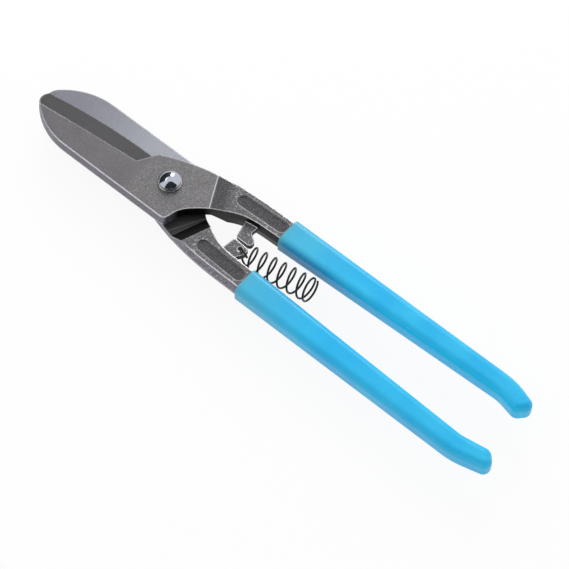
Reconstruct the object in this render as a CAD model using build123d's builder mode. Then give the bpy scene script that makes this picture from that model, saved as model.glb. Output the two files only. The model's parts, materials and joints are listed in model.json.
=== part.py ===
from build123d import *
import os
from math import cos, radians, sin

# Straight-pattern tin snips: two drop-forged halves that cross at one bolt, PVC-dipped handles,
# a hook spring hung from a lug between the handles, and a lock nut behind. Millimetres.
# The origin is on the pivot axis at the end face of the bolt, which the closed snips lie on.
# +X runs from the pivot to the handle ends, +Z comes out of the front face.
# Each half is drawn with its lap face down and its blade on -Y. The rear half is the same
# forging turned over about X.

# Bolt stack, from the rear up
bolt_end_proud = 0.8
nut_height = 6.2
nut_across_flats = 12.7
nut_collar_height = 1.9
nut_collar_wall = 0.9
nut_lip = 0.3
insert_thickness = 1.5
rear_washer_radius = 7.6
rear_washer_thickness = 1.0
rear_washer_cone = 0.5
head_washer_radius = 6.1
head_washer_thickness = 0.9
head_radius = 5.6
head_rim = 1.5
head_dome = 2.6
shank_radius = 3.95
shank_chamfer = 0.7
washer_clearance = 0.2
pivot_clearance = 0.05
lap_gap = 0.06

# Forging: blade and pivot plate on one side of the lap face, neck and tang astride it
half_thickness = 6.0
shank_half_thickness = 5.0
spine_half_width = 18.5
spine_draft = 0.6
tip_x = -86.2
tip_edge_y = 2.2
tip_nose_back = 2.2
tip_nose_y = -2.4
spine_arc_start_x = -56.0
spine_arc_radius = 40.3
edge_mid = (-50.0, 6.9)
edge_end = (-17.8, 7.9)
heel_corner_x = 12.4
heel_corner_radius = 3.2
throat_points = ((19.4, -3.4), (31.8, 5.6))
throat_end_x = 52.0
neck_inner_y = 10.4
neck_inner_draft = 0.8
shoulder_points = ((-3.4, 13.9), (9.4, 17.8), (23.1, 21.4), (38.0, 23.6))
shoulder_draft = (0.0, 0.2, 1.0, 1.7)
neck_outer_y = 24.1
neck_outer_draft = 1.8

# Bevel of the cutting edge
edge_land = 0.9
bevel_back_tip_y = -8.4
bevel_back_mid_y = -4.2
bevel_heel_x = -21.5
bevel_heel_y = -1.6
bevel_heel_slant = 59.0
bevel_overrun = 2.5

# Clearance scoop under the neck, and the step from the plate to the neck
scoop_start = (18.7, 20.0)
scoop_end = (25.3, 2.8)
scoop_run = 7.6
step_start = (15.9, 18.8)
step_end = (25.0, 1.8)
step_run = 8.0

# Tang and dipped grip
tang_outer_end_x = 199.0
tang_inner_end_x = 196.5
tang_outer_y = 24.1
tang_inner_end_y = 15.2
tang_toe_back = 6.0
tang_toe_y = 12.7
tang_nose_y = 19.2
tang_end_draft = 0.8
upper_tang_end_x = 213.6
lower_tang_end_x = 217.6
outer_bend_radius = 40.0
inner_bend_radius = 22.0
nose_radius = 2.7
toe_radius = 3.4
upper_grip_start_x = 62.4
lower_grip_start_x = 64.8
coat = 1.2
grip_round = 3.1 * coat  # over 3.4 times the coat, the tang's square corners would break through

# Name cartouche on each neck, left bare
cartouche_length = 30.6
cartouche_width = 6.6
cartouche_depth = 0.8
cartouche_angle = 2.3
cartouche_y = 16.7
upper_cartouche_x = 46.6
lower_cartouche_x = 48.4

# Lugs inside the necks and the return spring hung on the lower one
lug_half_thickness = 1.5
lug_hole_radius = 1.3
lug_hole_x = 50.2
lug_hole_y = -4.4
wire_radius = 0.55
coil_radius = 6.1
coil_pitch = 5.7
open_turns = 6.25
closed_pitch = 1.45
closed_turns = 1.0
coil_start_x = 54.8
coil_start_y = -3.7
coil_drop = 2.4
coil_tilt = 6.7
coil_rise = 5.0
eye_radius = 4.3
eye_turn = -20.0

# Heights that follow from the stack
lap_height = bolt_end_proud + nut_height + rear_washer_thickness + half_thickness + lap_gap / 2
rear_face = lap_height - lap_gap / 2 - half_thickness
front_face = lap_height + lap_gap / 2 + half_thickness
front_lap = Plane.XY.offset(lap_height + lap_gap / 2)
rear_lap = Plane(origin=(0, 0, lap_height - lap_gap / 2), x_dir=(1, 0, 0), z_dir=(0, 0, -1))


def tang_corners(end_x, draft):
    """Corners of the handle end, from the outer bend round to the inner bend."""
    outer_bend = (tang_outer_end_x, tang_outer_y - neck_outer_draft * draft)
    nose = (end_x - tang_end_draft * draft, tang_nose_y)
    toe = (end_x - tang_toe_back - tang_end_draft * draft, tang_toe_y)
    inner_bend = (tang_inner_end_x, tang_inner_end_y + neck_inner_draft * draft)
    return outer_bend, nose, toe, inner_bend


def tang_line(start, finish, end_x, draft):
    """The handle's outline from its outer side round the end to its inner side."""
    FilletPolyline(
        start,
        *tang_corners(end_x, draft),
        finish,
        radius=[outer_bend_radius, nose_radius, toe_radius, inner_bend_radius],
    )


def half_profile(plane, end_x, draft):
    """Face of a whole half, drawn in by its draft away from the parting line."""
    spine_y = -spine_half_width + spine_draft * draft
    arc_radius = spine_arc_radius - spine_draft * draft
    arc_centre_y = -spine_half_width + spine_arc_radius
    tip_reach = tip_x + tip_nose_back + spine_draft * draft - spine_arc_start_x
    tip_spine_y = arc_centre_y - (arc_radius**2 - tip_reach**2) ** 0.5
    heel = (heel_corner_x, spine_y)
    throat_start = (heel_corner_x + 0.1, spine_y + heel_corner_radius)
    inner_y = neck_inner_y + neck_inner_draft * draft
    outer_y = neck_outer_y - neck_outer_draft * draft
    shoulder = [(p[0], p[1] - d * draft) for p, d in zip(shoulder_points, shoulder_draft)]
    tip = (tip_x + tip_nose_back / 3, tip_edge_y)
    tip_nose = (tip_x + spine_draft * draft, tip_nose_y)
    tip_spine = (spine_arc_start_x + tip_reach, tip_spine_y)
    arc_start = (spine_arc_start_x, spine_y)
    heel_start = (heel_corner_x - heel_corner_radius, spine_y)
    throat_end = (throat_end_x, inner_y)
    outer_start = (throat_end_x, outer_y)
    with BuildSketch(plane) as profile:
        with BuildLine():
            ThreePointArc(tip, tip_nose, tip_spine)
            RadiusArc(tip_spine, arc_start, -arc_radius)
            Line(arc_start, heel_start)
            TangentArc(heel_start, throat_start, tangent=(1, 0))
            Spline(throat_start, *throat_points, throat_end, tangents=((0.15, 1), (1, 0.03)))
            tang_line(outer_start, throat_end, end_x, draft)
            Spline(outer_start, *reversed(shoulder), edge_end, tangents=((-1, 0), (-1, -0.45)))
            ThreePointArc(edge_end, edge_mid, tip)
        make_face()
    return profile.sketch


def forge_half(lap, end_x):
    """A half with its bevel, scoop, step and pivot hole, before its lug and cartouche."""
    slant = radians(bevel_heel_slant)
    slant_dir = (cos(slant), sin(slant), 0)
    slant_origin_x = bevel_heel_x - bevel_heel_y * cos(slant) / sin(slant)
    stations = (
        (Plane(origin=(tip_x - bevel_overrun, 0, 0), x_dir=(0, 1, 0), z_dir=(1, 0, 0)),
         bevel_back_tip_y, tip_edge_y - 0.3),
        (Plane(origin=(edge_mid[0], 0, 0), x_dir=(0, 1, 0), z_dir=(1, 0, 0)),
         bevel_back_mid_y, edge_mid[1]),
        (Plane(origin=(slant_origin_x, 0, 0), x_dir=slant_dir, z_dir=(sin(slant), -cos(slant), 0)),
         bevel_heel_y / sin(slant), edge_end[1] / sin(slant)),
    )
    with BuildPart() as blank:
        for height in (half_thickness, -shank_half_thickness):
            parting = half_profile(lap, end_x, 0)
            face = half_profile(lap.offset(height), end_x, abs(height) / half_thickness)
            loft([parting, face], ruled=True)
        # everything below the lap face ahead of the scoop goes
        with BuildSketch(Plane(lap * cross_plane(scoop_start, scoop_end))):
            with BuildLine():
                Polyline(
                    (-200, 0), (0, 0), (scoop_run * 2, -shank_half_thickness * 2), (-200, -20),
                    close=True,
                )
            make_face()
        extrude(amount=100, both=True, mode=Mode.SUBTRACT)
        # the front face steps down from the plate to the neck
        with BuildSketch(Plane(lap * cross_plane(step_start, step_end))):
            with BuildLine():
                Polyline(
                    (0, half_thickness), (step_run, shank_half_thickness),
                    (300, shank_half_thickness), (300, 20), (0, 20),
                    close=True,
                )
            make_face()
        extrude(amount=100, both=True, mode=Mode.SUBTRACT)
        # bevel behind the cutting edge
        for plane, back, edge in stations:
            slope = (half_thickness - edge_land) / (edge - back)
            with BuildSketch(Plane(lap * plane)):
                with BuildLine():
                    Polyline(
                        (back - bevel_overrun, half_thickness + slope * bevel_overrun),
                        (edge + bevel_overrun, edge_land - slope * bevel_overrun),
                        (edge + bevel_overrun, half_thickness + slope * bevel_overrun),
                        close=True,
                    )
                make_face()
        loft(mode=Mode.SUBTRACT)
        # pivot hole
        with BuildSketch(lap):
            Circle(shank_radius + pivot_clearance)
        extrude(amount=half_thickness, mode=Mode.SUBTRACT)
    return blank.part


def cross_plane(start, end):
    """Upright plane across a straight edge, with its x along the handle side of it."""
    along = Vector(end[0] - start[0], end[1] - start[1], 0).normalized()
    across = Vector(-along.Y, along.X, 0)
    return Plane(origin=(start[0], start[1], 0), x_dir=across, z_dir=across.cross(Vector(0, 0, 1)))


def grip_blank(lap, start_x, end_x):
    """Outside of a dipped handle: the tang's outline carried out by the coat, and rounded."""
    with BuildPart() as blank:
        with BuildSketch(lap):
            with BuildLine():
                tang_line((throat_end_x, neck_outer_y), (throat_end_x, neck_inner_y), end_x, 0)
                Line((throat_end_x, neck_inner_y), (throat_end_x, neck_outer_y))
            make_face()
            offset(amount=coat)
        extrude(amount=shank_half_thickness + coat, both=True)
        rims = blank.edges().group_by(Axis.Z)
        fillet(rims[0] + rims[-1], radius=grip_round)
        split(bisect_by=Plane.YZ.offset(start_x))
    return blank.part


upper_blank = forge_half(front_lap, upper_tang_end_x)
lower_blank = forge_half(rear_lap, lower_tang_end_x)

# Upper half: front blade on -Y, handle on +Y, with a hooked stop lug
with BuildPart() as upper_half:
    add(upper_blank)
    with BuildSketch(front_lap.offset(shank_half_thickness)):
        with Locations((upper_cartouche_x, cartouche_y)):
            SlotOverall(cartouche_length, cartouche_width, rotation=cartouche_angle)
    extrude(amount=-cartouche_depth, mode=Mode.SUBTRACT)
    with BuildSketch(Plane.XY.offset(lap_height)):
        with BuildLine():
            FilletPolyline(
                (40.8, neck_inner_y + 2),
                (44.0, -0.4),
                (53.4, -0.4),
                (52.8, 3.2),
                (48.4, 6.2),
                (49.0, neck_inner_y + 2),
                radius=[1.3, 1.8, 1.3, 1.3],
            )
            Line((49.0, neck_inner_y + 2), (40.8, neck_inner_y + 2))
        make_face()
    extrude(amount=lug_half_thickness, both=True)

# Lower half: the same forging turned over, with the lug that carries the spring
with BuildPart() as lower_half:
    add(lower_blank)
    with BuildSketch(rear_lap.offset(-shank_half_thickness)):
        with Locations((lower_cartouche_x, cartouche_y)):
            SlotOverall(cartouche_length, cartouche_width, rotation=cartouche_angle)
    extrude(amount=cartouche_depth, mode=Mode.SUBTRACT)
    with BuildSketch(Plane.XY.offset(lap_height)):
        with BuildLine():
            FilletPolyline(
                (42.6, -neck_inner_y - 2),
                (44.0, -1.2),
                (53.4, -1.9),
                (54.0, -5.6),
                (49.4, -neck_inner_y - 2),
                radius=[1.3, 1.3, 1.6],
            )
            Line((49.4, -neck_inner_y - 2), (42.6, -neck_inner_y - 2))
        make_face()
    extrude(amount=lug_half_thickness, both=True)
    with BuildSketch(Plane.XY.offset(lap_height)):
        with Locations((lug_hole_x, lug_hole_y)):
            Circle(lug_hole_radius)
    extrude(amount=lug_half_thickness, both=True, mode=Mode.SUBTRACT)

# Dipped grips
upper_coat = grip_blank(front_lap, upper_grip_start_x, upper_tang_end_x)
lower_coat = grip_blank(rear_lap, lower_grip_start_x, lower_tang_end_x)

with BuildPart() as upper_grip:
    add(upper_coat)
    add(upper_half.part, mode=Mode.SUBTRACT)

with BuildPart() as lower_grip:
    add(lower_coat)
    add(lower_half.part, mode=Mode.SUBTRACT)

# Pivot bolt: domed head over a washer, plain shank through both halves
head_seat = front_face + head_washer_thickness
head_top = head_seat + head_rim + head_dome
with BuildPart() as pivot_bolt:
    with BuildSketch(Plane.XZ):
        with BuildLine():
            Polyline(
                (0, head_top),
                (0, 0),
                (shank_radius - shank_chamfer, 0),
                (shank_radius, shank_chamfer),
                (shank_radius, head_seat),
                (head_radius, head_seat),
                (head_radius, head_seat + head_rim),
            )
            TangentArc((0, head_top), (head_radius, head_seat + head_rim), tangent=(1, 0))
        make_face()
    revolve(axis=Axis.Z)

with BuildPart() as head_washer:
    with BuildSketch(Plane.XY.offset(front_face)):
        Circle(head_washer_radius)
        Circle(shank_radius + washer_clearance, mode=Mode.SUBTRACT)
    extrude(amount=head_washer_thickness)
    chamfer(head_washer.edges().group_by(Axis.Z)[-1].sort_by(SortBy.RADIUS)[-1], length=0.25)

# Slightly coned washer behind, with its rim against the rear half
washer_bore = shank_radius + washer_clearance
with BuildPart() as rear_washer:
    with BuildSketch(Plane.XZ):
        with BuildLine():
            Polyline(
                (washer_bore, rear_face - rear_washer_thickness),
                (rear_washer_radius, rear_face - rear_washer_thickness + rear_washer_cone),
                (rear_washer_radius, rear_face),
                (washer_bore, rear_face - rear_washer_cone),
                close=True,
            )
        make_face()
    revolve(axis=Axis.Z)

# Lock nut with a rolled collar that holds a nylon ring
nut_base = bolt_end_proud
insert_radius = nut_across_flats / 2 - nut_collar_wall
with BuildPart() as lock_nut:
    with BuildSketch(Plane.XY.offset(nut_base + nut_collar_height)):
        RegularPolygon(nut_across_flats / 2, 6, major_radius=False)
    extrude(amount=nut_height - nut_collar_height)
    with BuildSketch(Plane.XY.offset(nut_base)):
        Circle(nut_across_flats / 2)
    extrude(amount=nut_collar_height)
    with BuildSketch(Plane.XY.offset(nut_base + nut_lip)):
        Circle(insert_radius)
    extrude(amount=insert_thickness, mode=Mode.SUBTRACT)
    with BuildSketch(Plane.XY.offset(nut_base)):
        Circle(insert_radius - nut_lip * 2)
    extrude(amount=nut_lip, mode=Mode.SUBTRACT)
    with BuildSketch(Plane.XY.offset(nut_base)):
        Circle(shank_radius)
    extrude(amount=nut_height, mode=Mode.SUBTRACT)

with BuildPart() as nut_insert:
    with BuildSketch(Plane.XY.offset(nut_base + nut_lip)):
        Circle(insert_radius)
        Circle(shank_radius, mode=Mode.SUBTRACT)
    extrude(amount=insert_thickness)

# Return spring: an eye through the lower lug, an open coil and a closed last turn
coil_heading = Vector(cos(radians(coil_tilt)), sin(radians(coil_tilt)), 0)
axis_dir = coil_heading * cos(radians(coil_rise)) + Vector(0, 0, sin(radians(coil_rise)))
coil_frame = Plane(
    origin=(coil_start_x, coil_start_y, lap_height - coil_drop),
    x_dir=coil_heading * sin(radians(coil_rise)) - Vector(0, 0, cos(radians(coil_rise))),
    z_dir=axis_dir,
)
open_length = open_turns * coil_pitch
open_coil = coil_frame.location * Edge.make_helix(coil_pitch, open_length, coil_radius)
last_turn = Edge.make_helix(
    closed_pitch, closed_turns * closed_pitch, coil_radius, center=(0, 0, open_length),
)
closed_coil = coil_frame.location * last_turn.rotate(Axis.Z, 360 * open_turns)
eye_dir = Vector(cos(radians(eye_turn)), sin(radians(eye_turn)), 0)
eye_centre = Vector(lug_hole_x, lug_hole_y, lap_height) + eye_dir * eye_radius
eye_frame = Plane(origin=eye_centre, x_dir=eye_dir, z_dir=eye_dir.cross(Vector(0, 0, 1)))
eye = eye_frame.location * Edge.make_circle(eye_radius, start_angle=50, end_angle=200)
link = Edge.make_spline([eye @ 1, open_coil @ 0], tangents=[eye % 1, open_coil % 0])
spans = (Wire([eye, link]), Wire([open_coil]), Wire([closed_coil]))
with BuildPart() as return_spring:
    for span in spans:
        with BuildSketch(Plane(origin=span @ 0, z_dir=span % 0)):
            Circle(wire_radius)
        sweep(path=span, is_frenet=True)

upper_half.part.label = "upper_half"
lower_half.part.label = "lower_half"
upper_grip.part.label = "upper_grip"
lower_grip.part.label = "lower_grip"
pivot_bolt.part.label = "pivot_bolt"
head_washer.part.label = "head_washer"
rear_washer.part.label = "rear_washer"
lock_nut.part.label = "lock_nut"
nut_insert.part.label = "nut_insert"
return_spring.part.label = "return_spring"

os.makedirs("parts", exist_ok=True)
export_step(upper_half.part, "parts/upper_half.step")
export_step(lower_half.part, "parts/lower_half.step")
export_step(upper_grip.part, "parts/upper_grip.step")
export_step(lower_grip.part, "parts/lower_grip.step")
export_step(pivot_bolt.part, "parts/pivot_bolt.step")
export_step(head_washer.part, "parts/head_washer.step")
export_step(rear_washer.part, "parts/rear_washer.step")
export_step(lock_nut.part, "parts/lock_nut.step")
export_step(nut_insert.part, "parts/nut_insert.step")
export_step(return_spring.part, "parts/return_spring.step")
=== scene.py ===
import bpy
import json
import math
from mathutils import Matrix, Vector


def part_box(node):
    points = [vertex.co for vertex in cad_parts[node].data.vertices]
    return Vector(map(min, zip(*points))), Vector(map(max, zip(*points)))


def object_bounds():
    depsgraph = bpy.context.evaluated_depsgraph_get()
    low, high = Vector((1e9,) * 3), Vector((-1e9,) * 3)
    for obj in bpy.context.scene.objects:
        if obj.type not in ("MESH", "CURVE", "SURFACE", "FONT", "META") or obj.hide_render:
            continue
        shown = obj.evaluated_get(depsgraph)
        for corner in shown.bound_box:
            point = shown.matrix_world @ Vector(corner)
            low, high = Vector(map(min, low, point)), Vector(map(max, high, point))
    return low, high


# Straight tin snips: ground and shot-blasted forgings, dipped vinyl handles, chrome bolt, black spring.

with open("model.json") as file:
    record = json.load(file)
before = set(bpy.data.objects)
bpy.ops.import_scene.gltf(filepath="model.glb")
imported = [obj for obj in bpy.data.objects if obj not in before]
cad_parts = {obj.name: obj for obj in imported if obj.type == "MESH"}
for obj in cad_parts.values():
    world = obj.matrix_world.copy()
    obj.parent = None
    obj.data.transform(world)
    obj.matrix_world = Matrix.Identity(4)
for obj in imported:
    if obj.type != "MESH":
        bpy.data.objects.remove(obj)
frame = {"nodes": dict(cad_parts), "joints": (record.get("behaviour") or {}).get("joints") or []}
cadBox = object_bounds()
nodes = frame["nodes"]
pivot = Vector(next(j for j in frame["joints"] if j["name"] == "blade_pivot")["pos_m"])
print("frame loaded:", len(nodes), "nodes")


# node helpers

def put(tree, kind, **settings):
    node = tree.nodes.new(kind)
    row, column = divmod(len(tree.nodes), 10)
    node.location = (column * 170, -row * 240)
    for key, value in settings.items():
        setattr(node, key, value)
    return node


def feed(tree, socket, value):
    if isinstance(value, bpy.types.NodeSocket):
        tree.links.new(value, socket)
    elif isinstance(value, (tuple, list)) and len(value) == 3 and socket.type == "RGBA":
        socket.default_value = (*value, 1)
    else:
        socket.default_value = value


def calc(tree, operation, first, second=0.0):
    node = put(tree, "ShaderNodeMath", operation=operation)
    feed(tree, node.inputs[0], first)
    feed(tree, node.inputs[1], second)
    return node.outputs[0]


def ramp(tree, value, low, high):  # 0 at low, 1 at high, either way round
    node = put(tree, "ShaderNodeMapRange", interpolation_type="SMOOTHSTEP")
    for name, given in (("Value", value), ("From Min", low), ("From Max", high)):
        feed(tree, node.inputs[name], given)
    return node.outputs["Result"]


def between(tree, value, low, high, soft):  # 1 from low to high, with soft ends
    rising = ramp(tree, value, low - soft, low + soft)
    return calc(tree, "MULTIPLY", rising, ramp(tree, value, high + soft, high - soft))


def mixColour(tree, factor, first, second):
    node = put(tree, "ShaderNodeMix", data_type="RGBA")
    for index, given in ((0, factor), (6, first), (7, second)):
        feed(tree, node.inputs[index], given)
    return node.outputs[2]


def mixValue(tree, factor, first, second):
    node = put(tree, "ShaderNodeMix", data_type="FLOAT")
    for index, given in ((0, factor), (2, first), (3, second)):
        feed(tree, node.inputs[index], given)
    return node.outputs[0]


def startGroup(name, inputs, outputs):
    tree = bpy.data.node_groups.new(name, "ShaderNodeTree")
    for socket, value in inputs.items():
        made = tree.interface.new_socket(socket, in_out="INPUT", socket_type="NodeSocketFloat")
        made.default_value = value
    for socket, kind in outputs.items():
        tree.interface.new_socket(socket, in_out="OUTPUT", socket_type=kind)
    return tree, put(tree, "NodeGroupInput").outputs, put(tree, "NodeGroupOutput").inputs


def useGroup(tree, group, **values):
    node = put(tree, "ShaderNodeGroup", node_tree=group)
    for name, given in values.items():
        feed(tree, node.inputs[name], given)
    return node.outputs


def noise(tree, vector, scale, detail=4.0, roughness=0.6):
    node = put(tree, "ShaderNodeTexNoise")
    feed(tree, node.inputs["Vector"], vector)
    feed(tree, node.inputs["Scale"], scale)
    feed(tree, node.inputs["Detail"], detail)
    feed(tree, node.inputs["Roughness"], roughness)
    return node.outputs["Fac"]


# shared effects

floatOut, vectorOut = "NodeSocketFloat", "NodeSocketVector"
effects = {
    "blotchScale": 120.0,
    "fleckScale": 780.0,
    "grindSlant": 0.35,
    "wornTurn": (0.9985, 0.90),  # wear starts and is full where an edge turns this far, as cosines
    "wornBreaks": (0.16, 0.44),
    "breakScale": 420.0,
}


def makeGrit():  # shot-blasted skin: fine pits with broad blotches under them
    tree, given, made = startGroup("grit", {"Size": 900.0},
                                  {"Pits": floatOut, "Blotch": floatOut, "Fleck": floatOut})
    place = put(tree, "ShaderNodeTexCoord").outputs["Object"]
    cells = put(tree, "ShaderNodeTexVoronoi", feature="SMOOTH_F1")
    feed(tree, cells.inputs["Vector"], place)
    feed(tree, cells.inputs["Scale"], given["Size"])
    grain = noise(tree, place, given["Size"], 5.0, 0.7)
    feed(tree, made["Pits"], calc(tree, "MULTIPLY", cells.outputs["Distance"], grain))
    feed(tree, made["Blotch"], noise(tree, place, effects["blotchScale"], 3.0, 0.55))
    feed(tree, made["Fleck"], noise(tree, place, effects["fleckScale"], 5.0, 0.75))
    return tree


def makeGrind():  # lines left by a wheel that ran across the blade
    tree, given, made = startGroup("grind", {"Along": 3200.0, "Across": 130.0}, {"Lines": floatOut})
    place = put(tree, "ShaderNodeTexCoord").outputs["Object"]
    parts = put(tree, "ShaderNodeSeparateXYZ")
    feed(tree, parts.inputs[0], place)
    shift = calc(tree, "MULTIPLY", parts.outputs["Y"], effects["grindSlant"])
    slanted = calc(tree, "ADD", parts.outputs["X"], shift)
    joined = put(tree, "ShaderNodeCombineXYZ")
    feed(tree, joined.inputs["X"], calc(tree, "MULTIPLY", slanted, given["Along"]))
    feed(tree, joined.inputs["Y"], calc(tree, "MULTIPLY", parts.outputs["Y"], given["Across"]))
    feed(tree, made["Lines"], noise(tree, joined.outputs[0], 1.0, 3.0, 0.6))
    return tree


def makeWear():  # edges rounded by Radius, and the parts within Reach of them that handling has polished, which the steel also uses for a painted highlight
    tree, given, made = startGroup("edgeWearAndHighlight", {"Radius": 0.0003, "Reach": 0.0015},
                                  {"Mask": floatOut, "Normal": vectorOut})
    rounded = put(tree, "ShaderNodeBevel", samples=6)
    feed(tree, rounded.inputs["Radius"], given["Radius"])
    reached = put(tree, "ShaderNodeBevel", samples=6)
    feed(tree, reached.inputs["Radius"], given["Reach"])
    facing = put(tree, "ShaderNodeVectorMath", operation="DOT_PRODUCT")
    feed(tree, facing.inputs[0], reached.outputs["Normal"])
    feed(tree, facing.inputs[1], put(tree, "ShaderNodeNewGeometry").outputs["Normal"])
    edge = ramp(tree, facing.outputs["Value"], *effects["wornTurn"])
    place = put(tree, "ShaderNodeTexCoord").outputs["Object"]
    broken = ramp(tree, noise(tree, place, effects["breakScale"], 4.0, 0.65), *effects["wornBreaks"])
    feed(tree, made["Mask"], calc(tree, "MULTIPLY", edge, broken))
    feed(tree, made["Normal"], rounded.outputs["Normal"])
    return tree


grit, grind, wear = makeGrit(), makeGrind(), makeWear()


def startMaterial(name):
    material = bpy.data.materials.new(name)
    material.use_nodes = True
    tree = material.node_tree
    tree.nodes.clear()
    shader = put(tree, "ShaderNodeBsdfPrincipled")
    tree.links.new(shader.outputs[0], put(tree, "ShaderNodeOutputMaterial").inputs["Surface"])
    return material, tree, shader.inputs


def bumpFrom(tree, height, strength, distance, normal=None):
    node = put(tree, "ShaderNodeBump")
    feed(tree, node.inputs["Height"], height)
    feed(tree, node.inputs["Strength"], strength)
    feed(tree, node.inputs["Distance"], distance)
    if normal is not None:
        feed(tree, node.inputs["Normal"], normal)
    return node.outputs["Normal"]


def dress(node, material):
    slots = nodes[node].data.materials
    slots.clear()
    slots.append(material)
    nodes[node].data.polygons.foreach_set("material_index", [0] * len(nodes[node].data.polygons))


# forged halves: one skin whose finish changes from blade to neck

forging = {
    "blade": (0.140, 0.135, 0.145),
    "plate": (0.165, 0.160, 0.165),
    "slope": (0.072, 0.070, 0.075),
    "neck": (0.125, 0.121, 0.128),
    "bevel": (0.034, 0.032, 0.034),
    "ground": (0.195, 0.198, 0.228),
    "groundHeel": (0.30, 0.31, 0.35),
    "wallLit": (0.200, 0.185, 0.225),
    "throatShade": (0.040, 0.038, 0.038),
    "panel": (0.070, 0.068, 0.072),
    "shade": (0.010, 0.010, 0.011),
    # bare steel where worn, also used as a painted highlight on the edges and the step's crest
    "bare": (0.86, 0.86, 0.90),
    # how level a face lies, from 0 for a wall to 1 for a flat
    "flat": (0.96, 0.98),
    "flatLap": (0.97, 0.99),
    "tilted": (0.70, 0.965),
    "upright": (0.5, 0.3),
    # places, in metres
    "stepAcross": (0.882, 0.472),  # direction from plate to neck, and where the step starts along it
    "stepFrom": 0.0229,
    "stepRun": 0.008,
    "stepCrest": (-0.0006, 0.0),
    "scoopFrom": 0.0165,
    "throatFrom": 0.0128,
    "throatLap": 0.0105,  # past here the lap face gets painted shade, as it lies under the other half
    "innerSide": 0.0152,  # walls nearer the middle than this face the throat
    "bladeTo": -0.016,
    "heelTone": (-0.075, -0.012),  # the ground face turns paler from the first to the second
    "lapDepth": 0.00012,  # a face this near the lap belongs to it
    "panelFloor": (0.0038, 0.0046),  # distance of the sunk panels' floor from the lap face
    "panelRim": (0.0120, 0.0214),
    # texture and wear
    "grit": 2300.0,
    "pits": {"plate": 0.75, "blade": 0.34, "neck": 1.1},
    "blotches": (0.82, 1.18),
    "streaks": (0.80, 1.20),
    "spots": (0.54, 0.68),
    "spotWear": 0.5,
    "crestWearAndHighlightLevels": (0.1, 0.6),
    "rimLoss": 0.8,  # share of the wear that the panels' rims are spared
    "coverLoss": 0.9,  # the same for what is shaded or lapped
    "cuttingSide": (-0.008, -0.004),
    "cuttingTo": (0.020, 0.010),
    "cuttingWear": 0.30,  # wear along the cutting side of the blade and plate, beside 1 along the spine
    "edges": {"Radius": 0.0007, "Reach": 0.0012},
    "roughness": {"grit": (0.42, 0.58), "ground": (0.38, 0.50), "wornAndHighlit": 0.28},
    "metal": 0.7,
    "bump": (0.35, 0.00012),
}


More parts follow.
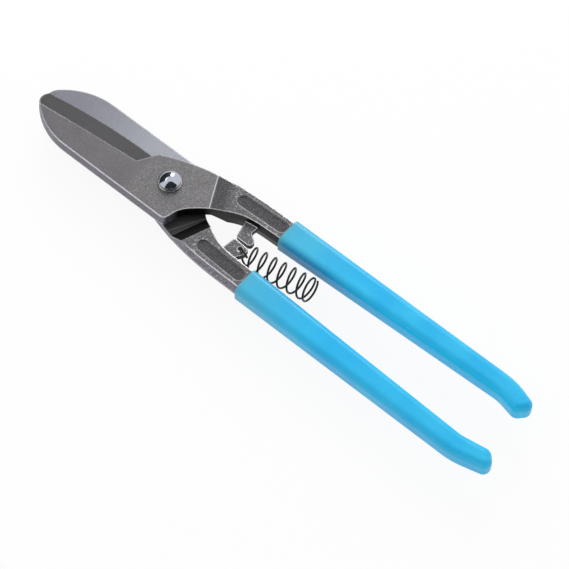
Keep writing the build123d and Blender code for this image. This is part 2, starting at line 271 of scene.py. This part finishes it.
def forgedSteel():
    material, tree, shader = startMaterial("forgedSteel")
    coords = put(tree, "ShaderNodeTexCoord")
    place = put(tree, "ShaderNodeSeparateXYZ")
    feed(tree, place.inputs[0], coords.outputs["Object"])
    turned = put(tree, "ShaderNodeSeparateXYZ")
    feed(tree, turned.inputs[0], coords.outputs["Normal"])
    x, y, z = place.outputs["X"], place.outputs["Y"], place.outputs["Z"]
    level = calc(tree, "ABSOLUTE", turned.outputs["Z"])
    offCentre = calc(tree, "ABSOLUTE", y)
    aboveLap = calc(tree, "SUBTRACT", z, pivot.z)
    fromLap = calc(tree, "ABSOLUTE", aboveLap)
    skin = useGroup(tree, grit, Size=forging["grit"])
    lines = useGroup(tree, grind)["Lines"]
    edges = useGroup(tree, wear, **forging["edges"])

    # where each finish lies
    across = calc(tree, "ADD", calc(tree, "MULTIPLY", x, forging["stepAcross"][0]),
                  calc(tree, "MULTIPLY", offCentre, forging["stepAcross"][1]))
    pastStep = calc(tree, "SUBTRACT", across, forging["stepFrom"])
    neck = ramp(tree, pastStep, 0.0, 0.0003)
    upSlope = ramp(tree, pastStep, forging["stepRun"] * 0.6, forging["stepRun"] * 1.4)
    flat = ramp(tree, level, *forging["flat"])
    stepLine = calc(tree, "MULTIPLY", between(tree, pastStep, *forging["stepCrest"], 0.00015), flat)
    blade = ramp(tree, x, forging["bladeTo"] + 0.002, forging["bladeTo"] - 0.002)
    tilted = between(tree, level, *forging["tilted"], 0.008)
    bevel = calc(tree, "MULTIPLY", tilted, blade)
    scooped = ramp(tree, x, forging["scoopFrom"] - 0.001, forging["scoopFrom"])
    scoop = calc(tree, "MULTIPLY", tilted, scooped)
    onLap = calc(tree, "LESS_THAN", fromLap, forging["lapDepth"])
    lap = calc(tree, "MULTIPLY", onLap, ramp(tree, level, *forging["flatLap"]))
    upright = ramp(tree, level, *forging["upright"])
    pastThroat = ramp(tree, x, forging["throatFrom"], forging["throatFrom"] + 0.0015)
    nearMiddle = ramp(tree, offCentre, forging["innerSide"] + 0.0006, forging["innerSide"] - 0.0006)
    inner = calc(tree, "MULTIPLY", pastThroat, nearMiddle)
    shaded = calc(tree, "MAXIMUM", scoop, calc(tree, "MULTIPLY", upright, inner))
    panel = calc(tree, "MULTIPLY", between(tree, fromLap, *forging["panelFloor"], 0.0001), neck)
    panel = calc(tree, "MULTIPLY", panel, flat)

    # the colour of each finish
    colour = mixColour(tree, blade, forging["plate"], forging["blade"])
    # painted shade: the slope just past the step is darker because it tilts away from the light; the
    # neck beyond keeps its own tone
    colour = mixColour(tree, neck, colour, mixColour(tree, upSlope, forging["slope"], forging["neck"]))
    # painted light: upright walls, such as the spine wall, are paler because they face the light
    colour = mixColour(tree, upright, colour, forging["wallLit"])
    colour = mixColour(tree, bevel, colour, forging["bevel"])
    colour = mixColour(tree, shaded, colour, forging["shade"])
    colour = mixColour(tree, panel, colour, forging["panel"])
    heel = ramp(tree, x, *forging["heelTone"])
    lapTone = mixColour(tree, heel, forging["ground"], forging["groundHeel"])
    # painted shade: past the throat, the lap face under the other half is darkened nearly black
    shadedUnderThroat = ramp(tree, x, forging["throatLap"], forging["throatLap"] + 0.002)
    colour = mixColour(tree, lap, colour, mixColour(tree, shadedUnderThroat, lapTone, forging["throatShade"]))

    # pits darken and blotches vary the skin, strongest on the neck, and the wheel streaks what is ground
    depths = forging["pits"]
    depth = mixValue(tree, neck, mixValue(tree, blade, depths["plate"], depths["blade"]), depths["neck"])
    swing = calc(tree, "SUBTRACT", ramp(tree, skin["Pits"], 0.06, 0.42), 0.5)
    pitted = calc(tree, "ADD", 1.0, calc(tree, "MULTIPLY", swing, depth))
    blotched = calc(tree, "MULTIPLY", pitted, mixValue(tree, skin["Blotch"], *forging["blotches"]))
    streaked = mixValue(tree, lines, *forging["streaks"])
    ground = calc(tree, "MAXIMUM", lap, bevel)
    scaled = put(tree, "ShaderNodeVectorMath", operation="SCALE")
    feed(tree, scaled.inputs[0], colour)
    feed(tree, scaled.inputs["Scale"], mixValue(tree, ground, blotched, streaked))

    # the handled corners, the step's crest and high spots of the neck are polished bare; the near-white
    # bare colour along the edges and the crest is also a painted highlight
    spots = calc(tree, "MULTIPLY", ramp(tree, skin["Fleck"], *forging["spots"]),
                 calc(tree, "MULTIPLY", neck, upSlope))
    spots = calc(tree, "MULTIPLY", spots, calc(tree, "SUBTRACT", 1.0, panel))
    rim = calc(tree, "MULTIPLY", between(tree, offCentre, *forging["panelRim"], 0.0004), upSlope)
    rimKept = calc(tree, "SUBTRACT", 1.0, calc(tree, "MULTIPLY", rim, forging["rimLoss"]))
    rubbed = calc(tree, "MULTIPLY", edges["Mask"], rimKept)
    ownSide = calc(tree, "MULTIPLY", y, calc(tree, "SIGN", aboveLap))
    cutting = calc(tree, "MULTIPLY", ramp(tree, ownSide, *forging["cuttingSide"]),
                   ramp(tree, x, *forging["cuttingTo"]))
    rubbed = calc(tree, "MULTIPLY", rubbed, mixValue(tree, cutting, 1.0, forging["cuttingWear"]))
    crestWearAndHighlight = calc(tree, "MULTIPLY", stepLine, mixValue(tree, skin["Fleck"], *forging["crestWearAndHighlightLevels"]))
    wearAndHighlight = calc(tree, "MAXIMUM", rubbed, crestWearAndHighlight)
    wearAndHighlight = calc(tree, "MAXIMUM", wearAndHighlight, calc(tree, "MULTIPLY", spots, forging["spotWear"]))
    covered = calc(tree, "MAXIMUM", shaded, calc(tree, "MULTIPLY", lap, forging["coverLoss"]))
    bared = calc(tree, "SUBTRACT", 1.0, calc(tree, "MULTIPLY", covered, forging["coverLoss"]))
    wornAndHighlit = calc(tree, "MULTIPLY", wearAndHighlight, bared)
    feed(tree, shader["Base Color"], mixColour(tree, wornAndHighlit, scaled.outputs[0], forging["bare"]))

    shader["Metallic"].default_value = forging["metal"]
    roughness = forging["roughness"]
    rough = mixValue(tree, lap, mixValue(tree, skin["Pits"], *roughness["grit"]),
                     mixValue(tree, lines, *roughness["ground"]))
    feed(tree, shader["Roughness"], mixValue(tree, wornAndHighlit, rough, roughness["wornAndHighlit"]))
    height = mixValue(tree, ground, skin["Pits"], lines)
    feed(tree, shader["Normal"], bumpFrom(tree, height, *forging["bump"], edges["Normal"]))
    return material


steel = forgedSteel()
for half in ("upper_half", "lower_half"):
    dress(half, steel)
print("forgings finished")


# dipped handles

vinyl = {
    "blue": (0.010, 0.48, 0.88),
    "pale": (0.028, 0.55, 0.90),
    "film": (0.085, 0.44, 0.60),
    "filmLength": 0.0045,
    "thinLength": 0.050,  # the coat stays thin and grayer this far from its mouth
    "thinShare": 0.55,
    "raggedness": 0.004,
    # painted shade on the sides of the handles that face each other
    "inside": (0.002, 0.29, 0.60),
    "insideFar": (0.002, 0.62, 0.95),  # the painted shade is lighter again towards the handle's end
    "insideFades": (0.070, 0.140),
    "insideShare": 0.7,
    "waves": 45.0,
    "grain": 900.0,
    "roughness": (0.24, 0.38),
    "specular": 0.32,
    "coat": 0.06,
    "coatRoughness": 0.15,
    "edgeRadius": 0.0008,
    "bump": (0.12, 0.0006),
}


def dippedVinyl(name, mouth):
    material, tree, shader = startMaterial(name)
    coords = put(tree, "ShaderNodeTexCoord")
    place = put(tree, "ShaderNodeSeparateXYZ")
    feed(tree, place.inputs[0], coords.outputs["Object"])
    broad = noise(tree, coords.outputs["Object"], vinyl["waves"], 3.0, 0.5)
    fine = noise(tree, coords.outputs["Object"], vinyl["grain"], 3.0, 0.5)
    ragged = calc(tree, "ADD", place.outputs["X"], calc(tree, "MULTIPLY", broad, vinyl["raggedness"]))
    filmTo = mouth + vinyl["raggedness"] / 2
    film = ramp(tree, ragged, filmTo + vinyl["filmLength"], filmTo)
    thin = ramp(tree, ragged, mouth + vinyl["thinLength"], mouth)
    colour = mixColour(tree, ramp(tree, broad, 0.35, 0.7), vinyl["blue"], vinyl["pale"])
    colour = mixColour(tree, calc(tree, "MULTIPLY", thin, vinyl["thinShare"]), colour, vinyl["film"])
    # painted shade: the sides that face each other are darker near the mouth, where the handles shade
    # each other
    turned = put(tree, "ShaderNodeSeparateXYZ")
    feed(tree, turned.inputs[0], coords.outputs["Normal"])
    side = calc(tree, "SIGN", place.outputs["Y"])
    inwardShade = ramp(tree, calc(tree, "MULTIPLY", turned.outputs["Y"], side), -0.35, -0.85)
    along = ramp(tree, place.outputs["X"], *vinyl["insideFades"])
    inside = mixColour(tree, along, vinyl["inside"], vinyl["insideFar"])
    colour = mixColour(tree, calc(tree, "MULTIPLY", inwardShade, vinyl["insideShare"]), colour, inside)
    feed(tree, shader["Base Color"], mixColour(tree, film, colour, vinyl["film"]))
    feed(tree, shader["Roughness"], mixValue(tree, fine, *vinyl["roughness"]))
    shader["Specular IOR Level"].default_value = vinyl["specular"]
    shader["Coat Weight"].default_value = vinyl["coat"]
    shader["Coat Roughness"].default_value = vinyl["coatRoughness"]
    edges = useGroup(tree, wear, Radius=vinyl["edgeRadius"])
    feed(tree, shader["Normal"], bumpFrom(tree, broad, *vinyl["bump"], edges["Normal"]))
    return material


for grip in ("upper_grip", "lower_grip"):
    dress(grip, dippedVinyl(grip + "Vinyl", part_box(grip)[0].x))
print("handles finished")


# bolt, washers and nut

hardware = {
    "pivot_bolt": {"colour": (0.50, 0.54, 0.62), "roughness": 0.08, "grain": 700.0},
    "head_washer": {"colour": (0.50, 0.47, 0.42), "roughness": 0.20, "grain": 900.0},
    "rear_washer": {"colour": (0.24, 0.24, 0.26), "roughness": 0.36, "grain": 1100.0},
    "lock_nut": {"colour": (0.36, 0.36, 0.39), "roughness": 0.32, "grain": 1000.0},
}

plating = {
    "dullScale": 260.0,
    "dullShade": 0.88,  # of the colour, where it has dulled
    "polish": (0.75, 1.35),  # of the roughness, from smooth to scratched
    "edgeRadius": 0.0002,
    "bump": (0.05, 0.00004),
}


def platedMetal(name, finish):
    material, tree, shader = startMaterial(name)
    place = put(tree, "ShaderNodeTexCoord").outputs["Object"]
    marks = noise(tree, place, finish["grain"], 4.0, 0.6)
    dull = noise(tree, place, plating["dullScale"], 2.0, 0.5)
    dark = tuple(part * plating["dullShade"] for part in finish["colour"])
    feed(tree, shader["Base Color"], mixColour(tree, dull, dark, finish["colour"]))
    smooth, scratched = (finish["roughness"] * share for share in plating["polish"])
    feed(tree, shader["Roughness"], mixValue(tree, marks, smooth, scratched))
    shader["Metallic"].default_value = 1.0
    edges = useGroup(tree, wear, Radius=plating["edgeRadius"])
    feed(tree, shader["Normal"], bumpFrom(tree, marks, *plating["bump"], edges["Normal"]))
    return material


for node, finish in hardware.items():
    dress(node, platedMetal(node + "Metal", finish))


nylonRing = {
    "colour": (0.80, 0.80, 0.74),
    "stain": (0.62, 0.62, 0.56),
    "clouds": 600.0,
    "roughness": (0.45, 0.6),
}


def nylon():
    material, tree, shader = startMaterial("nylon")
    place = put(tree, "ShaderNodeTexCoord").outputs["Object"]
    cloud = noise(tree, place, nylonRing["clouds"], 3.0, 0.5)
    feed(tree, shader["Base Color"], mixColour(tree, cloud, nylonRing["stain"], nylonRing["colour"]))
    feed(tree, shader["Roughness"], mixValue(tree, cloud, *nylonRing["roughness"]))
    return material


dress("nut_insert", nylon())
print("hardware finished")


# return spring

wire = {
    "black": (0.010, 0.010, 0.011),
    "rubbed": (0.055, 0.053, 0.055),
    "scuffs": 650.0,
    "rubbedFrom": (0.55, 0.75),
    "roughness": (0.23, 0.40),
    "metal": 0.3,
    "bump": (0.08, 0.00005),
}


def blackWire():
    material, tree, shader = startMaterial("blackWire")
    place = put(tree, "ShaderNodeTexCoord").outputs["Object"]
    scuff = noise(tree, place, wire["scuffs"], 4.0, 0.65)
    bare = ramp(tree, scuff, *wire["rubbedFrom"])
    feed(tree, shader["Base Color"], mixColour(tree, bare, wire["black"], wire["rubbed"]))
    feed(tree, shader["Roughness"], mixValue(tree, scuff, *wire["roughness"]))
    shader["Metallic"].default_value = wire["metal"]
    feed(tree, shader["Normal"], bumpFrom(tree, scuff, *wire["bump"]))
    return material


dress("return_spring", blackWire())
print("spring finished")


# studio

studio = {
    "floorSize": 6.0,
    "floorDrop": 0.0002,  # below the lowest point of the snips
    "floorColour": (0.93, 0.93, 0.93),
    "floorRoughness": 0.9,
    "floorLift": 0.91,  # how much of the seen floor is plain white, over its shadow
    "sky": 0.66,
    "key": {"from": (-0.75, 1.05, 0.75), "size": 0.9, "watts": 13.0},
    "fill": {"from": (-0.9, -0.2, 1.0), "size": 0.8, "watts": 2.0},
    "cardColour": (0.01, 0.01, 0.012),
    "cards": {  # curved black cards that the chrome mirrors, high on the near side and low on the left
        "nearCard": {"radius": (1.15, 0.20), "height": (0.50, 1.40),
                     "middle": -38.0, "reach": 58.0, "steps": 16},
        "sideCard": {"radius": (1.15, 0.70), "height": (0.05, 0.94),
                     "middle": 172.0, "reach": 46.0, "steps": 14},
    },
}


def seenRay(tree):  # 1 for what the eye, a mirror or glass sees
    rays = put(tree, "ShaderNodeLightPath").outputs
    shiny = calc(tree, "MAXIMUM", rays["Is Glossy Ray"], rays["Is Transmission Ray"])
    return calc(tree, "MAXIMUM", rays["Is Camera Ray"], shiny)


def makeFloor():
    mesh = bpy.data.meshes.new("floor")
    half = studio["floorSize"] / 2
    corners = [(-half, -half, 0), (half, -half, 0), (half, half, 0), (-half, half, 0)]
    mesh.from_pydata(corners, [], [(0, 1, 2, 3)])
    floor = bpy.data.objects.new("floor", mesh)
    bpy.context.scene.collection.objects.link(floor)
    floor.location.z = cadBox[0].z - studio["floorDrop"]
    material, tree, shader = startMaterial("paleFloor")
    surface = next(node for node in tree.nodes if node.type == "OUTPUT_MATERIAL").inputs["Surface"]
    place = put(tree, "ShaderNodeTexCoord").outputs["Object"]
    tone = noise(tree, place, 3.0, 2.0, 0.5)
    dim = tuple(part * 0.985 for part in studio["floorColour"])
    feed(tree, shader["Base Color"], mixColour(tree, tone, dim, studio["floorColour"]))
    shader["Roughness"].default_value = studio["floorRoughness"]
    lit = surface.links[0].from_socket
    white, mixed = put(tree, "ShaderNodeEmission"), put(tree, "ShaderNodeMixShader")
    lift = calc(tree, "MULTIPLY", seenRay(tree), studio["floorLift"])
    for index, given in ((0, lift), (1, lit), (2, white.outputs[0])):
        tree.links.new(given, mixed.inputs[index])
    tree.links.new(mixed.outputs[0], surface)
    mesh.materials.append(material)


def makeSky():
    world = bpy.data.worlds.new("studio")
    bpy.context.scene.world = world
    world.use_nodes = True
    tree = world.node_tree
    tree.nodes.clear()
    light, seen = put(tree, "ShaderNodeBackground"), put(tree, "ShaderNodeBackground")
    for background, strength in ((light, studio["sky"]), (seen, 1.0)):
        background.inputs["Color"].default_value = (1, 1, 1, 1)
        background.inputs["Strength"].default_value = strength
    mixed = put(tree, "ShaderNodeMixShader")
    for index, given in ((0, seenRay(tree)), (1, light.outputs[0]), (2, seen.outputs[0])):
        tree.links.new(given, mixed.inputs[index])
    tree.links.new(mixed.outputs[0], put(tree, "ShaderNodeOutputWorld").inputs["Surface"])


def aimAt(thing, spot):
    thing.rotation_euler = (thing.location - spot).to_track_quat("Z", "Y").to_euler()


def makeSoftbox(name, setting, spot):
    lamp = bpy.data.lights.new(name, "AREA")
    lamp.shape, lamp.size, lamp.energy = "SQUARE", setting["size"], setting["watts"]
    box = bpy.data.objects.new(name, lamp)
    bpy.context.scene.collection.objects.link(box)
    box.location = spot + Vector(setting["from"])
    aimAt(box, spot)


def makeDarkCard(name, setting, spot):  # part of a cone around the spot, seen in reflections only
    low, high = [], []
    for step in range(setting["steps"] + 1):
        turn = math.radians(setting["middle"] + setting["reach"] * (2 * step / setting["steps"] - 1))
        for ring, radius, height in zip((low, high), setting["radius"], setting["height"]):
            ring.append((radius * math.cos(turn), radius * math.sin(turn), height))
    count = len(low)
    faces = [(k, k + 1, count + k + 1, count + k) for k in range(count - 1)]
    mesh = bpy.data.meshes.new(name)
    mesh.from_pydata(low + high, [], faces)
    card = bpy.data.objects.new(name, mesh)
    bpy.context.scene.collection.objects.link(card)
    card.location = spot
    for sight in ("visible_camera", "visible_diffuse", "visible_shadow", "visible_transmission"):
        setattr(card, sight, False)
    material, tree, shader = startMaterial(name + "Black")
    feed(tree, shader["Base Color"], studio["cardColour"])
    mesh.materials.append(material)


makeFloor()
makeSky()
makeSoftbox("keyLight", studio["key"], pivot)
makeSoftbox("fillLight", studio["fill"], pivot)
for cardName, cardSetting in studio["cards"].items():
    makeDarkCard(cardName, cardSetting, pivot)
print("studio lit")


camera = {"azimuth": 40.65, "elevation": 60.0, "distance": 1.130, "lens": 142.99,
          "target": Vector((0.07023, 0.00568, -0.00989))}


def placeCamera():
    turn, rise = math.radians(camera["azimuth"]), math.radians(camera["elevation"])
    back = Vector((math.sin(turn) * math.cos(rise), -math.cos(turn) * math.cos(rise), math.sin(rise)))
    eye = bpy.data.objects.new("camera", bpy.data.cameras.new("camera"))
    bpy.context.scene.collection.objects.link(eye)
    eye.data.lens, eye.data.sensor_width = camera["lens"], 36.0
    eye.data.clip_start, eye.data.clip_end = 0.05, 20.0
    eye.location = camera["target"] + back * camera["distance"]
    aimAt(eye, camera["target"])
    bpy.context.scene.camera = eye


placeCamera()
bpy.context.scene.view_settings.view_transform = "Standard"
print("camera placed")
